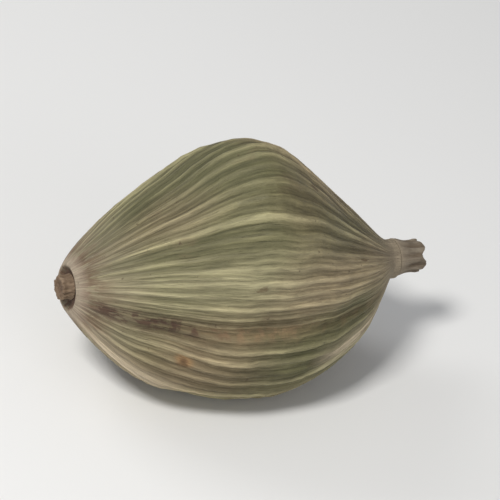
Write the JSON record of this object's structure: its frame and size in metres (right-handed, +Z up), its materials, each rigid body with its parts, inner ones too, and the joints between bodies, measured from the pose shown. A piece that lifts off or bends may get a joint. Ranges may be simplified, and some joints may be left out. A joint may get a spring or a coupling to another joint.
{
  "type": "green cardamom pod",
  "caption": "Dried green cardamom pod lying on its side: a ribbed, lobed oval husk with a withered calyx tube at one end and a broken stalk stub at the other.",
  "frame": {"origin": "centre of the bounding box's bottom, on the surface that the pod rests on", "axes": "+X along the pod from the stalk end to the calyx end, +Z up from the surface that the pod rests on, +Y completes a right-handed frame"},
  "size_m": [0.015, 0.0086, 0.0096],
  "materials": {
    "husk": "dry, fibrous olive-green plant skin with paler raised veins, matt to slightly waxy",
    "calyx": "dry, papery straw-brown plant tissue, matt",
    "stalk": "dry, woody reddish brown, matt"
  },
  "bodies": {
    "root": {"husk": "husk", "calyx": "calyx", "stalk": "stalk"}
  },
  "joints": []
}
